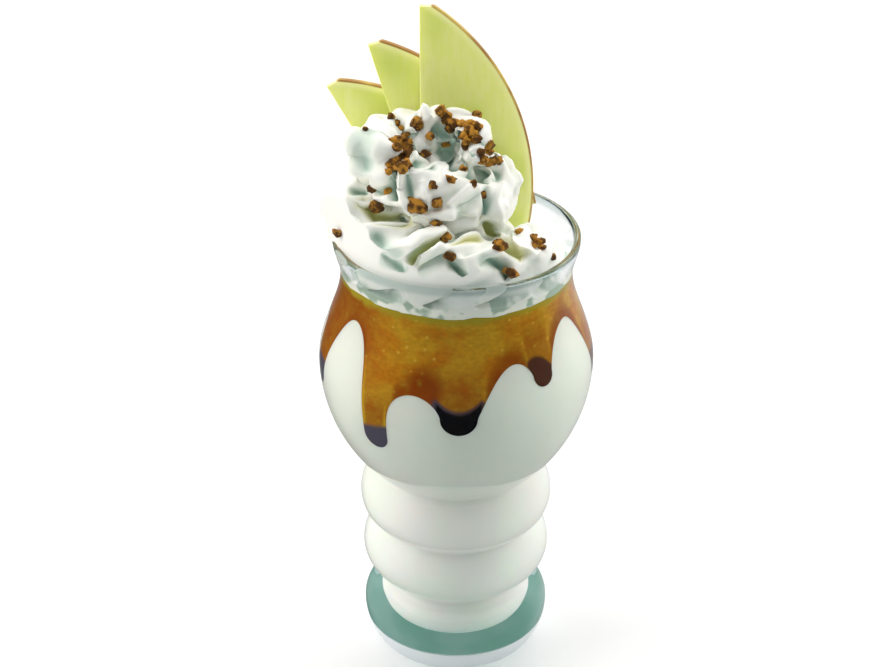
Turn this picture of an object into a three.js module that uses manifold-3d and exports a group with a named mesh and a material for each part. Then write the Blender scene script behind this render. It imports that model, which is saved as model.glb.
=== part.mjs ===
// A milkshake in its ribbed tulip glass: white shake, a layer of amber sauce that runs down
// inside the wall, a piped swirl of whipped cream with crumbs, and a fan of three apple slices.
// Millimetres, +Z up, the origin at the middle of the glass's foot, the shown side towards -Y.

import * as THREE from 'three';
import { mergeVertices } from 'three/addons/utils/BufferGeometryUtils.js';
import Module from 'manifold-3d';

const wasm = await Module();
wasm.setup();

const TURN = Math.PI * 2;
const DEGREE = Math.PI / 180;

// ---------------------------------------------------------------- driving dimensions

const GAP = 0.3;                 // clearance between neighbouring pieces
const SEGMENTS = 32;             // facets round the glass and what fills it
const PROFILE_TOLERANCE = 0.34;  // how far a facet may leave the true profile

// Glass, outside: bulges by height, radius and roundness above and below the widest line.
const GLASS_HEIGHT = 141;
const BULB_HEIGHT = 100.5;
const BULB_RADIUS = 41;
const OUTER_BULGES = [
  { z: 12.5, r: 28.7, above: 7.9, below: 18.4 },
  { z: 34.7, r: 28.8, above: 10.1, below: 10.1 },
  { z: 53.4, r: 29.4, above: 11, below: 11 },
  { z: BULB_HEIGHT, r: BULB_RADIUS, above: 49.6, below: 49.6 },
];
const STEM_RADIUS = 21.5;
const COLLAR_HEIGHT = 129.5;
const COLLAR_RADIUS = 34;
const LIP_RADIUS = 36.2;
const CREASE_SOFTNESS = 0.62;
const BULGE_FALL = 3;            // how steeply a bulge's radius falls away past its own edge
const PROFILE_STEP = 0.8;        // between the heights at which a profile is worked out

// Glass, inside: a thick foot, then walls that thin towards the lip.
const WALL = 2.2;
const WELL_FLOOR = 10.5;
const INNER_BULGES = [
  { z: 15.5, r: 22, above: 6.5, below: 5 },
  { z: 34.7, r: 24, above: 13, below: 13 },
  { z: 53.4, r: 25.9, above: 13, below: 13 },
  { z: BULB_HEIGHT, r: BULB_RADIUS - WALL, above: 48, below: 48 },
];
const WELL_RADIUS = 18.5;

// Sauce: a layer through the glass with a curtain of runs down the inside of the wall.
const SAUCE_TOP = 130.5;
const SAUCE_BED = 124.2;
const LAYER_FOOT = 125.6;         // the curtain's runs are drawn down from here
const CURTAIN_THICKNESS = 2.6;
const CURTAIN_STEPS = 72;
const CURTAIN_CLEARANCE = 0.4;    // more than the gap, as the curtain's facets are long

// ---------------------------------------------------------------- general geometry

// The largest of several values with the creases between them rounded.
function smoothMax(values, softness) {
  const top = Math.max(...values);
  const sum = values.reduce((total, value) => total + Math.exp((value - top) / softness), 0);
  return top + softness * Math.log(sum);
}

// Radius of one bulge at a height: an arc that falls away steeply past its own edge.
function bulgeRadius(z, { z: middle, r, above, below }) {
  const away = Math.abs(z - middle);
  const round = z > middle ? above : below;
  if (away >= round) return r - round - BULGE_FALL * (away - round);
  return r - round + Math.sqrt(round * round - away * away);
}

function ease(from, to, share) {
  return from + (to - from) * (1 - Math.cos(Math.PI * share)) / 2;
}

// The neck above the bulb and the flare of the lip.
function collarRadius(z) {
  if (z < COLLAR_HEIGHT) {
    return ease(BULB_RADIUS, COLLAR_RADIUS, (z - BULB_HEIGHT) / (COLLAR_HEIGHT - BULB_HEIGHT));
  }
  return ease(COLLAR_RADIUS, LIP_RADIUS, (z - COLLAR_HEIGHT) / (GLASS_HEIGHT - COLLAR_HEIGHT));
}

function outerRadius(z) {
  if (z > BULB_HEIGHT) return collarRadius(z);
  const bulges = OUTER_BULGES.map((bulge) => bulgeRadius(z, bulge));
  return smoothMax([...bulges, z > OUTER_BULGES[0].z ? STEM_RADIUS : 0], CREASE_SOFTNESS);
}

function innerRadius(z) {
  if (z > BULB_HEIGHT) return collarRadius(z) - WALL;
  const bulges = INNER_BULGES.map((bulge) => bulgeRadius(z, bulge));
  return smoothMax([...bulges, z > INNER_BULGES[0].z ? WELL_RADIUS : 0], CREASE_SOFTNESS);
}

// Heights from one level to another, then thinned where the profile runs straight.
function profile(radiusAt, from, to) {
  const count = Math.ceil((to - from) / PROFILE_STEP);
  const points = [];
  for (let i = 0; i <= count; i += 1) {
    const z = from + (to - from) * i / count;
    points.push(new THREE.Vector2(radiusAt(z), z));
  }
  return thin(points, PROFILE_TOLERANCE);
}

function thin(points, tolerance) {
  const first = points[0];
  const last = points[points.length - 1];
  const along = last.clone().sub(first).normalize();
  let worst = 0;
  let split = 0;
  points.forEach((point, i) => {
    const off = Math.abs(along.cross(point.clone().sub(first)));
    if (off > worst) {
      worst = off;
      split = i;
    }
  });
  if (worst <= tolerance) return [first, last];
  const lower = thin(points.slice(0, split + 1), tolerance);
  const upper = thin(points.slice(split), tolerance);
  return [...lower.slice(0, -1), ...upper];
}

// A solid of revolution about +Z from (radius, height) points that run up the outside.
function revolve(points) {
  const geometry = new THREE.LatheGeometry(points, SEGMENTS);
  geometry.rotateX(Math.PI / 2);
  return geometry;
}

const SAME_POINT = 1e-4;         // corners closer than this are one corner

function positionsOnly(geometry) {
  const bare = geometry.index ? geometry.toNonIndexed() : geometry.clone();
  bare.deleteAttribute('normal');
  bare.deleteAttribute('uv');
  return mergeVertices(bare, SAME_POINT);
}

function toSolid(geometry) {
  const bare = positionsOnly(geometry);
  const index = bare.index.array;
  const triangles = [];
  for (let i = 0; i < index.length; i += 3) {
    const [a, b, c] = [index[i], index[i + 1], index[i + 2]];
    if (a !== b && b !== c && a !== c) triangles.push(a, b, c);
  }
  return new wasm.Manifold(new wasm.Mesh({
    numProp: 3,
    vertProperties: new Float32Array(bare.attributes.position.array),
    triVerts: new Uint32Array(triangles),
  }));
}

function toGeometry(solid) {
  const mesh = solid.getMesh();
  const geometry = new THREE.BufferGeometry();
  const positions = new Float32Array(mesh.numVert * 3);
  for (let i = 0; i < mesh.numVert; i += 1) {
    for (let k = 0; k < 3; k += 1) positions[3 * i + k] = mesh.vertProperties[i * mesh.numProp + k];
  }
  geometry.setAttribute('position', new THREE.BufferAttribute(positions, 3));
  geometry.setIndex(new THREE.BufferAttribute(new Uint32Array(mesh.triVerts), 1));
  return geometry;
}

// The one body that matters after a cut: loose scraps are dropped.
function largestBody(solid) {
  return solid.decompose().sort((a, b) => b.volume() - a.volume())[0];
}

// A polyline of profile points moved sideways, away from the axis when the distance is positive.
function parallel(points, distance) {
  const normals = points.slice(1).map((point, i) => {
    const along = point.clone().sub(points[i]).normalize();
    return new THREE.Vector2(along.y, -along.x);
  });
  return points.map((point, i) => {
    const before = normals[Math.max(i - 1, 0)];
    const after = normals[Math.min(i, normals.length - 1)];
    const mitre = before.clone().add(after).normalize();
    return point.clone().addScaledVector(mitre, distance / mitre.dot(before));
  });
}

// The part of a rising profile below a height, cut off exactly at that height.
function upTo(points, height) {
  const next = points.findIndex((point) => point.y > height);
  const [low, high] = [points[next - 1], points[next]];
  const cut = low.clone().lerp(high, (height - low.y) / (high.y - low.y));
  return [...points.slice(0, next), cut];
}

// A random draw between 0 and 1 that is the same in every build.
function seeded(seed) {
  let state = seed;
  return () => {
    state = (state * 16807) % 2147483647;
    return state / 2147483647;
  };
}

// A closed skin through rings of points: each ring has the same count, and the ends are fanned
// shut on a middle point of their own.
function skin(rings, start, end) {
  const count = rings[0].length;
  const points = [start, ...rings.flat(), end];
  const last = points.length - 1;
  const triangles = [];
  for (let j = 0; j < count; j += 1) {
    const k = (j + 1) % count;
    triangles.push(0, 1 + k, 1 + j);
    for (let i = 0; i < rings.length - 1; i += 1) {
      const low = 1 + i * count;
      const high = low + count;
      triangles.push(low + j, low + k, high + k, low + j, high + k, high + j);
    }
    const top = 1 + (rings.length - 1) * count;
    triangles.push(last, top + j, top + k);
  }
  const geometry = new THREE.BufferGeometry().setFromPoints(points);
  geometry.setIndex(triangles);
  return geometry;
}

// ---------------------------------------------------------------- glass

const LIP_ROUND = 1;
const LIP_STEPS = 4;
const outerProfile = profile(outerRadius, 0, GLASS_HEIGHT - LIP_ROUND);
const innerProfile = [
  new THREE.Vector2(0, WELL_FLOOR),
  ...profile(innerRadius, WELL_FLOOR, GLASS_HEIGHT - LIP_ROUND),
];

// The lip's half round, from the end of the outer profile over to the inner one.
function lip(points) {
  const outside = points[points.length - 1];
  const arc = [];
  for (let i = 1; i < LIP_STEPS; i += 1) {
    const angle = Math.PI * i / LIP_STEPS;
    const r = outside.x - LIP_ROUND * (1 - Math.cos(angle));
    arc.push(new THREE.Vector2(r, outside.y + LIP_ROUND * Math.sin(angle)));
  }
  return arc;
}

function glass() {
  return revolve([
    new THREE.Vector2(0, 0),
    ...outerProfile,
    ...lip(outerProfile),
    ...[...innerProfile].reverse(),
  ]);
}

// The glass with the clearance round it, for cutting what lies against it.
function glassWithClearance() {
  const outside = parallel(outerProfile, GAP);
  const inside = parallel(innerProfile, -GAP);
  const top = GLASS_HEIGHT + GAP;
  return toSolid(revolve([
    new THREE.Vector2(0, -GAP),
    new THREE.Vector2(outside[0].x, -GAP),
    ...outside,
    new THREE.Vector2(outside[outside.length - 1].x - LIP_ROUND / 2, top),
    new THREE.Vector2(inside[inside.length - 1].x + LIP_ROUND / 2, top),
    ...[...inside].reverse(),
  ]));
}

// ---------------------------------------------------------------- sauce and shake

// Runs of sauce, by bearing from the front (degrees, positive to the right): the width of the
// run, the height of its tip, how gently its left and right edges rise from it (a half is a
// quarter round, one a long curve), then the bearing and height of the arch after it.
const FRONT_RUNS = [
  { bearing: -80, width: 7.5, tip: 95.5, left: 0.5, right: 0.72, crown: -57, arch: 121.5 },
  { bearing: -36.8, width: 8.2, tip: 87.1, left: 0.35, right: 0.25, crown: -19, arch: 107.4 },
  { bearing: 0.8, width: 10.6, tip: 96.1, left: 0.68, right: 1, crown: 27, arch: 115 },
  { bearing: 40.4, width: 7, tip: 106.5, left: 0.68, right: 0.8, crown: 63, arch: 121 },
  { bearing: 84, width: 6.5, tip: 97, left: 0.8, right: 0.5, crown: 106, arch: 118 },
];
const BACK_RUNS = 4;
const BACK_SEED = 31;
const BACK_SWAY = 0.3;           // share of the spacing by which a back run leaves its place
const BACK_WIDTHS = [6, 10];
const BACK_TIPS = [93, 107];
const BACK_ARCHES = [111, 123];
const BACK_GENTLE = 0.5;

function allRuns() {
  const random = seeded(BACK_SEED);
  const between = ([low, high]) => low + (high - low) * random();
  const from = FRONT_RUNS[FRONT_RUNS.length - 1].bearing;
  const step = (FRONT_RUNS[0].bearing + 360 - from) / (BACK_RUNS + 1);
  const back = [];
  for (let i = 1; i <= BACK_RUNS; i += 1) {
    back.push({
      bearing: from + step * (i + BACK_SWAY * (random() - 0.5)),
      width: between(BACK_WIDTHS),
      tip: between(BACK_TIPS),
      left: BACK_GENTLE,
      right: BACK_GENTLE,
      crown: from + step * (i + 0.5),
      arch: between(BACK_ARCHES),
    });
  }
  return [...FRONT_RUNS, ...back];
}

const RUNS = allRuns();
const RUN_RADIUS = BULB_RADIUS - WALL;
const MM_PER_DEGREE = RUN_RADIUS * DEGREE;

// Height of the curtain's lower edge: a round tip under each run, and an arch between two runs.
function curtainEdge(bearing) {
  const turned = ((bearing - RUNS[0].bearing) % 360 + 360) % 360 + RUNS[0].bearing;
  const next = RUNS.findIndex((run) => run.bearing > turned);
  const before = RUNS[(next < 0 ? RUNS.length : next) - 1];
  const after = next < 0 ? { ...RUNS[0], bearing: RUNS[0].bearing + 360 } : RUNS[next];
  const [run, gentle] = turned > before.crown ? [after, after.left] : [before, before.right];
  const away = Math.abs(turned - run.bearing) * MM_PER_DEGREE;
  const round = run.width / 2;
  if (away < round) return run.tip + round - Math.sqrt(round * round - away * away);
  const share = (away - round) / (Math.abs(before.crown - run.bearing) * MM_PER_DEGREE - round);
  return run.tip + round + (before.arch - run.tip - round) * (1 - (1 - share) ** 2) ** gentle;
}

// The sauce: a full layer and its curtain. Growing it leaves room for the clearance. It reaches
// past the wall, and is cut back to it afterwards.
const LAYER_ROWS = [SAUCE_TOP, (SAUCE_TOP + LAYER_FOOT) / 2, LAYER_FOOT];
const CURTAIN_ROWS = 4;
const PAST_WALL = 1;
const BED_ROUND = 0.5;

function sauceBody(grow) {
  const rings = [];
  const turn = 360 / CURTAIN_STEPS;
  const drawnEdge = (bearing) => Math.min(curtainEdge(bearing), SAUCE_BED - 1);
  for (let i = 0; i < CURTAIN_STEPS; i += 1) {
    const bearing = turn * i;
    const here = drawnEdge(bearing);
    const steps = [bearing - turn, bearing + turn].map((at) => Math.abs(drawnEdge(at) - here));
    const steepest = Math.max(...steps) / (turn * MM_PER_DEGREE);
    const edge = here - grow * Math.hypot(1, steepest);
    const raise = (z) => z + (z === SAUCE_TOP ? grow : 0);
    const rows = LAYER_ROWS.map((z) => [innerRadius(z) + PAST_WALL, raise(z)]);
    for (let k = 1; k <= CURTAIN_ROWS; k += 1) {
      const z = LAYER_FOOT + (edge - LAYER_FOOT) * k / CURTAIN_ROWS;
      rows.push([innerRadius(z) + PAST_WALL, z]);
    }
    const inside = CURTAIN_THICKNESS + 2 * grow;
    rows.push([innerRadius(edge) - inside, edge]);
    rows.push([innerRadius((edge + SAUCE_BED) / 2) - inside, (edge + SAUCE_BED) / 2]);
    rows.push([innerRadius(SAUCE_BED) - inside - BED_ROUND, SAUCE_BED - grow]);
    const [sin, cos] = [Math.sin(bearing * DEGREE), -Math.cos(bearing * DEGREE)];
    rows.forEach(([r, z], k) => {
      rings[k] = rings[k] || [];
      rings[k].push(new THREE.Vector3(r * sin, r * cos, z));
    });
  }
  const start = new THREE.Vector3(0, 0, SAUCE_TOP + grow);
  const end = new THREE.Vector3(0, 0, SAUCE_BED - grow);
  return toSolid(skin(rings.reverse(), end, start));
}

// What fills the glass from its floor up to a height, clear of the wall.
function filling(height) {
  const wall = upTo(parallel(innerProfile, -GAP), height);
  return toSolid(revolve([...wall, new THREE.Vector2(0, height)]));
}

function sauce() {
  return largestBody(sauceBody(0).intersect(filling(SAUCE_TOP)));
}

function milkshake() {
  return largestBody(filling(SAUCE_BED - GAP).subtract(sauceBody(CURTAIN_CLEARANCE)));
}

// ---------------------------------------------------------------- apple slices

// Three thin slices fanned behind the cream. Each is a segment of a circle with its straight cut
// on the left, its skin on the right, a blunt tip, and a foot cut off flat inside the cream.
const SLICE_THICKNESS = 2.6;
const SKIN_RADIUS = 65.4;
const CUT_FROM_CENTRE = 32.3;
const TIP_BLUNTED = 2.7;
const SLICE_FOOT = SAUCE_TOP + 3;
const FAN_LEAN = 7 * DEGREE;
const FAN_LEVEL = 150;
const SLICES = [
  { name: 'apple_slice_1', tipX: -10.6, tipZ: 206, depth: 13, turn: 0 },
  { name: 'apple_slice_2', tipX: -26.2, tipZ: 193.4, depth: 16.4, turn: 17 },
  { name: 'apple_slice_3', tipX: -39, tipZ: 179.6, depth: 19.8, turn: 30 },
];
const SKIN_STEPS = 16;

function sliceBody({ tipX, tipZ, depth, turn }, grow) {
  const length = (tipZ - SLICE_FOOT) / Math.cos(turn * DEGREE) + grow;
  const half = Math.sqrt(SKIN_RADIUS ** 2 - CUT_FROM_CENTRE ** 2);
  const radius = SKIN_RADIUS + grow;
  const from = Math.asin((half + grow - TIP_BLUNTED) / radius);
  const to = Math.asin((half - length) / radius);
  const outline = new THREE.Shape();
  outline.moveTo(-grow, -TIP_BLUNTED + grow);
  outline.lineTo(-grow, -length);
  for (let i = 0; i <= SKIN_STEPS; i += 1) {
    const angle = to + (from - to) * i / SKIN_STEPS;
    outline.lineTo(radius * Math.cos(angle) - CUT_FROM_CENTRE, radius * Math.sin(angle) - half);
  }
  const body = new THREE.ExtrudeGeometry(outline, {
    depth: SLICE_THICKNESS + 2 * grow, bevelEnabled: false, steps: 1,
  });
  body.translate(0, 0, -grow);
  body.rotateZ(turn * DEGREE);
  body.rotateX(Math.PI / 2 - FAN_LEAN);
  body.translate(tipX, depth + (tipZ - FAN_LEVEL) * Math.tan(FAN_LEAN), tipZ);
  return body;
}

// ---------------------------------------------------------------- whipped cream

// Stations along the piped rope: how far it has turned (degrees), its reach from the swirl's
// middle, the height of its core, its thickness, and where the swirl's middle lies from left
// to right.
const SWIRL = [
  { turn: 0, reach: 23.5, height: 136.5, thick: 5, middle: -1 },
  { turn: 16, reach: 23.5, height: 137, thick: 9.5, middle: -1 },
  { turn: 50, reach: 23.5, height: 140, thick: 10.5, middle: -2 },
  { turn: 110, reach: 24, height: 143, thick: 11, middle: -3 },
  { turn: 195, reach: 25.5, height: 148, thick: 11.5, middle: -5 },
  { turn: 285, reach: 20.5, height: 147, thick: 10.5, middle: -6 },
  { turn: 365, reach: 14, height: 154, thick: 9.3, middle: -5 },
  { turn: 460, reach: 12, height: 160, thick: 9.4, middle: -7 },
  { turn: 555, reach: 13.2, height: 168, thick: 9.2, middle: -8.6 },
  { turn: 645, reach: 8, height: 169.5, thick: 7.6, middle: -6 },
  { turn: 720, reach: 9.5, height: 170.5, thick: 6.6, middle: -5.5 },
  { turn: 775, reach: 9.5, height: 167, thick: 3, middle: -5.5 },
];
const SWIRL_START = 10;
const SWIRL_DEPTH_MIDDLE = -2;
const FLUTES = 5;
const FLUTE_DEPTH = 0.26;
const FLUTE_SHARPNESS = 1.2;
const FLUTE_POINTS = 4;
const FLUTE_TWIST = -1.3;
const THINNEST_TWIST = 4;        // a thinner rope than this turns no faster
const ROPE_STEP = 0.54;
const ROPE_LENGTHS = [[0, 370], [350, 600], [585, 775]];

function station(turn, key) {
  const next = Math.max(1, SWIRL.findIndex((stop) => stop.turn >= turn));
  const [from, to] = [SWIRL[next - 1], SWIRL[next]];
  return ease(from[key], to[key], (turn - from.turn) / (to.turn - from.turn));
}

function ropeCore(turn) {
  const angle = (SWIRL_START - turn) * DEGREE;
  const reach = station(turn, 'reach');
  return new THREE.Vector3(
    station(turn, 'middle') + reach * Math.cos(angle),
    SWIRL_DEPTH_MIDDLE + reach * Math.sin(angle),
    station(turn, 'height'),
  );
}

// A rope of cream from a star nozzle: its section is carried along the cores and turns with
// the way travelled, so that the flutes lie across the rope like ruffles.
function fluted(cores, thicknesses) {
  const rings = [];
  const side = new THREE.Vector3(0, 0, 1);
  let spin = 0;
  cores.forEach((core, i) => {
    const before = cores[Math.max(i - 1, 0)];
    const after = cores[Math.min(i + 1, cores.length - 1)];
    const along = after.clone().sub(before).normalize();
    side.addScaledVector(along, -side.dot(along)).normalize();
    const across = along.clone().cross(side);
    spin += FLUTE_TWIST * core.distanceTo(before) / Math.max(thicknesses[i], THINNEST_TWIST);
    const ring = [];
    for (let j = 0; j < FLUTES * FLUTE_POINTS; j += 1) {
      const angle = TURN * j / (FLUTES * FLUTE_POINTS);
      const crest = ((1 + Math.cos(FLUTES * angle)) / 2) ** FLUTE_SHARPNESS;
      const r = thicknesses[i] * (1 - FLUTE_DEPTH * (1 - crest));
      ring.push(core.clone()
        .addScaledVector(side, r * Math.cos(angle + spin))
        .addScaledVector(across, r * Math.sin(angle + spin)));
    }
    rings.push(ring);
  });
  return toSolid(skin(rings, cores[0], cores[cores.length - 1]));
}

// The rope is laid in lengths that overlap a little, so that no length crosses itself.
function rope([from, to]) {
  const cores = [];
  const thicknesses = [];
  let turn = from;
  while (turn < to) {
    const thick = station(turn, 'thick');
    cores.push(ropeCore(turn));
    thicknesses.push(thick);
    turn += ROPE_STEP * thick / (station(turn, 'reach') * DEGREE);
  }
  return fluted(cores, thicknesses);
}

// The peak left where the nozzle was pulled away.
const PEAK_FOOT = new THREE.Vector3(-9, 1, 168);
const PEAK_TIP = new THREE.Vector3(-9.5, 2, 180.5);
const PEAK_THICKNESS = 5;
const PEAK_END = 0.3;
const PEAK_TAPER = 0.8;
const PEAK_STEPS = 4;

function peak() {
  const cores = [];
  const thicknesses = [];
  for (let i = 0; i <= PEAK_STEPS; i += 1) {
    cores.push(PEAK_FOOT.clone().lerp(PEAK_TIP, i / PEAK_STEPS));
    thicknesses.push(PEAK_THICKNESS * (1 - i / PEAK_STEPS) ** PEAK_TAPER + PEAK_END);
  }
  return fluted(cores, thicknesses);
}

// The cream inside the swirl: a bed across the sauce, and a mound on it that leans towards the
// shown side and leaves the glass free at the back right.
const BED_THICKNESS = 3.1;
const MOUND_MIDDLE = [-5, -2.5];
const MOUND = [
  { r: 27, z: 133 }, { r: 21.6, z: 142 }, { r: 13.5, z: 153 }, { r: 8.1, z: 164 }, { r: 0, z: 166 },
];

function creamHeart() {
  const floor = SAUCE_TOP + GAP;
  const wall = innerRadius(floor) + PAST_WALL;
  const bed = revolve([
    new THREE.Vector2(0, floor),
    new THREE.Vector2(wall, floor),
    new THREE.Vector2(wall, floor + BED_THICKNESS),
    new THREE.Vector2(0, floor + BED_THICKNESS),
  ]);
  const mound = revolve([
    new THREE.Vector2(0, MOUND[0].z),
    ...MOUND.map(({ r, z }) => new THREE.Vector2(r, z)),
  ]);
  mound.translate(...MOUND_MIDDLE, 0);
  return toSolid(bed).add(toSolid(mound));
}

// Handfuls of crumbs, strewn on the cream from the shown side: where each lands across and up
// in a plane square to the fall, how far it scatters either way, and how many crumbs it has.
const STREW_TILT = 29.4 * DEGREE;
const STREW_LEVEL = 140;
const STREW_FROM = 200;          // how far above the cream the crumbs are let fall
const CRUMB_SIZES = [1.7, 3.2];  // smallest and largest; small ones are more common
const CRUMB_PROUD = 0.25;        // share of its size by which a crumb's middle stands proud
const CRUMB_SWELL = [0.8, 1.2];  // how far a crumb's corners are knocked out of true
const CRUMB_SEED = 7;
const HANDFULS = [
  { across: -12, up: 34, wide: 1, high: 3, count: 2 },
  { across: -16, up: 31, wide: 3, high: 3, count: 3 },
  { across: -16, up: 21.5, wide: 3.5, high: 6, count: 6 },
  { across: -32, up: 21, wide: 1.5, high: 4, count: 2 },
  { across: -20, up: 10.5, wide: 7, high: 3, count: 4 },
  { across: -5, up: 28, wide: 4, high: 5, count: 3 },
  { across: 5.5, up: 29, wide: 2.5, high: 6, count: 5 },
  { across: 11, up: 19.5, wide: 4, high: 2, count: 4 },
  { across: -4, up: 8, wide: 4, high: 13, count: 6 },
  { across: 12, up: 3, wide: 6, high: 8, count: 3 },
  { across: 24, up: -3, wide: 4, high: 3, count: 4 },
];

// A crumb: a small block with its corners knocked out of true.
function crumb(size, random) {
  const body = positionsOnly(new THREE.BoxGeometry(size, size, size));
  const { position } = body.attributes;
  for (let i = 0; i < position.count; i += 1) {
    const swell = CRUMB_SWELL[0] + (CRUMB_SWELL[1] - CRUMB_SWELL[0]) * random();
    position.setXYZ(i, position.getX(i) * swell, position.getY(i) * swell, position.getZ(i) * swell);
  }
  body.rotateX(TURN * random());
  body.rotateZ(TURN * random());
  return body;
}

function strewn(cream, keepClear) {
  const surface = new THREE.Mesh(toGeometry(cream));
  const fall = new THREE.Vector3(0, Math.cos(STREW_TILT), -Math.sin(STREW_TILT));
  const upward = new THREE.Vector3(0, Math.sin(STREW_TILT), Math.cos(STREW_TILT));
  const random = seeded(CRUMB_SEED);
  const crumbs = [];
  HANDFULS.forEach(({ across, up, wide, high, count }) => {
    for (let i = 0; i < count; i += 1) {
      const size = CRUMB_SIZES[0] + (CRUMB_SIZES[1] - CRUMB_SIZES[0]) * random() ** 2;
      const from = new THREE.Vector3(across + wide * (2 * random() - 1), 0, STREW_LEVEL);
      from.addScaledVector(upward, up + high * (2 * random() - 1));
      from.addScaledVector(fall, -STREW_FROM);
      const hit = new THREE.Raycaster(from, fall).intersectObject(surface)[0];
      const body = crumb(size, random);
      if (!hit) continue;
      body.translate(...hit.point.addScaledVector(hit.face.normal, CRUMB_PROUD * size).toArray());
      const solid = toSolid(body);
      if (keepClear.every((piece) => piece.intersect(solid).isEmpty())) crumbs.push(solid);
    }
  });
  return crumbs;
}

function whippedCream() {
  const slab = new THREE.BoxGeometry(BULB_RADIUS * 2, BULB_RADIUS * 2, SAUCE_TOP + GAP);
  slab.translate(0, 0, (SAUCE_TOP + GAP) / 2);
  const around = [
    toSolid(slab),
    glassWithClearance(),
    ...SLICES.map((slice) => toSolid(sliceBody(slice, GAP))),
  ];
  let mass = peak().add(creamHeart());
  ROPE_LENGTHS.forEach((length) => {
    mass = mass.add(rope(length));
  });
  around.forEach((piece) => {
    mass = mass.subtract(piece);
  });
  const cream = largestBody(mass);
  const crumbs = strewn(cream, around);
  return crumbs.reduce((all, one) => all.add(one), cream);
}

// ---------------------------------------------------------------- the part

const LOOKS = {
  glass: { color: 0xdfe9e6, roughness: 0.05, metalness: 0, transparent: true, opacity: 0.35 },
  shake: { color: 0xd2d6cb, roughness: 0.4, metalness: 0 },
  sauce: { color: 0x8d651d, roughness: 0.25, metalness: 0 },
  cream: { color: 0xf2f4f1, roughness: 0.5, metalness: 0 },
  apple: { color: 0xd3d873, roughness: 0.45, metalness: 0 },
};

const part = new THREE.Group();

function place(name, geometry, look) {
  const mesh = new THREE.Mesh(geometry, new THREE.MeshStandardMaterial(look));
  mesh.name = name;
  part.add(mesh);
}

place('glass', glass(), LOOKS.glass);
place('milkshake', toGeometry(milkshake()), LOOKS.shake);
place('sauce', toGeometry(sauce()), LOOKS.sauce);
place('whipped_cream', toGeometry(whippedCream()), LOOKS.cream);
SLICES.forEach((slice) => place(slice.name, sliceBody(slice, 0), LOOKS.apple));

export default part;
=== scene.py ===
import math

import bmesh
import bpy
import numpy as np
from mathutils import Matrix, Vector, noise
from mathutils.bvhtree import BVHTree


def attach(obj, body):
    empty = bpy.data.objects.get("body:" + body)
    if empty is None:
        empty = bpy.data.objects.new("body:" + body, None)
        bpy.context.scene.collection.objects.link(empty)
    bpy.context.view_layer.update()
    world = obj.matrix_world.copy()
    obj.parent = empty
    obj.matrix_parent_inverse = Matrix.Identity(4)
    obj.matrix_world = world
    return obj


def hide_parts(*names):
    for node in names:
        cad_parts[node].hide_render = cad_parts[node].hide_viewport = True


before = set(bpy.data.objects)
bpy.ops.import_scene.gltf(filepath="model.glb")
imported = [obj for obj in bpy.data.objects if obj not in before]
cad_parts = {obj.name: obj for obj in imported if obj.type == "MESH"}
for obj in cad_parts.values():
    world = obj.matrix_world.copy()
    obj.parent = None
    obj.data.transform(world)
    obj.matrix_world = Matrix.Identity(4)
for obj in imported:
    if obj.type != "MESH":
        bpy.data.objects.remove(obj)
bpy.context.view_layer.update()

# ---------------------------------------------------------------- the view and the table
# The glass stands on a pale table in soft light from both sides and the back, strongest at the
# left. A long lens two thirds of a metre away looks down on it, so its rim shows as an ellipse.
# Sizes are in mm, and turned into metres where a mesh is made.

MM = 0.001
PICTURE_WIDTH = 889
PICTURE_MIDDLE = (444.5, 333.5)
FOCAL_PIXELS = 2100
SENSOR_WIDTH = 36
LENS_TILT = math.radians(29.4)
LENS_PLACE = Vector((-3.5, -544.9, 414.2)) * MM
NEAREST_SEEN = 10 * MM


def light_of(*screen):
    """The light that a colour stands for, from its 0 to 255 values on a screen."""
    shares = [value / 255 for value in screen]
    return tuple(s / 12.92 if s < 0.04045 else ((s + 0.055) / 1.055) ** 2.4 for s in shares) + (1,)


def new_finish(name):
    """A new material with an empty node tree."""
    finish = bpy.data.materials.new(name)
    finish.use_nodes = True
    finish.node_tree.nodes.clear()
    return finish


def add(tree, kind, sockets=None, **settings):
    """One shader node, its settings made and its sockets filled or joined."""
    made = tree.nodes.new("ShaderNode" + kind)
    for key, value in settings.items():
        setattr(made, key, value)
    for key, value in (sockets or {}).items():
        if isinstance(value, bpy.types.NodeSocket):
            tree.links.new(value, made.inputs[key])
        else:
            made.inputs[key].default_value = value
    return made


def mixed(tree, share, first, second, blend_type="MIX"):
    """The colour between two colours, by a share from 0 to 1."""
    sockets = {0: share, 6: first, 7: second}
    return add(tree, "Mix", sockets, data_type="RGBA", blend_type=blend_type).outputs[2]


def spread(tree, value, low, high, to_low=0.0, to_high=1.0):
    """A value stretched from one range to another, eased at both ends."""
    sockets = {0: value, 1: low, 2: high, 3: to_low, 4: to_high}
    return add(tree, "MapRange", sockets, interpolation_type="SMOOTHSTEP").outputs[0]


def place_on(tree):
    """Where a point lies on its piece, in metres."""
    return add(tree, "TexCoord").outputs["Object"]


def grain(tree, place, size, detail=2.0, roughness=0.5):
    """Soft noise from 0 to 1 whose spots are about so many mm across."""
    sockets = {"Vector": place, "Scale": 1 / (size * MM), "Detail": detail, "Roughness": roughness}
    return add(tree, "TexNoise", sockets).outputs[0]


def ended(finish, surface, volume=None):
    """Joins the shader to the material's output and gives the material back."""
    output = add(finish.node_tree, "OutputMaterial", {"Surface": surface})
    if volume is not None:
        finish.node_tree.links.new(volume, output.inputs["Volume"])
    return finish


def piece(name, bm, *finishes, smooth=True):
    """A finished mesh as an object at the origin, with its materials."""
    mesh = bpy.data.meshes.new(name)
    bm.to_mesh(mesh)
    bm.free()
    mesh.polygons.foreach_set("use_smooth", [smooth] * len(mesh.polygons))
    for finish in finishes:
        mesh.materials.append(finish)
    made = bpy.data.objects.new(name, mesh)
    bpy.context.scene.collection.objects.link(made)
    return made


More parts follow.
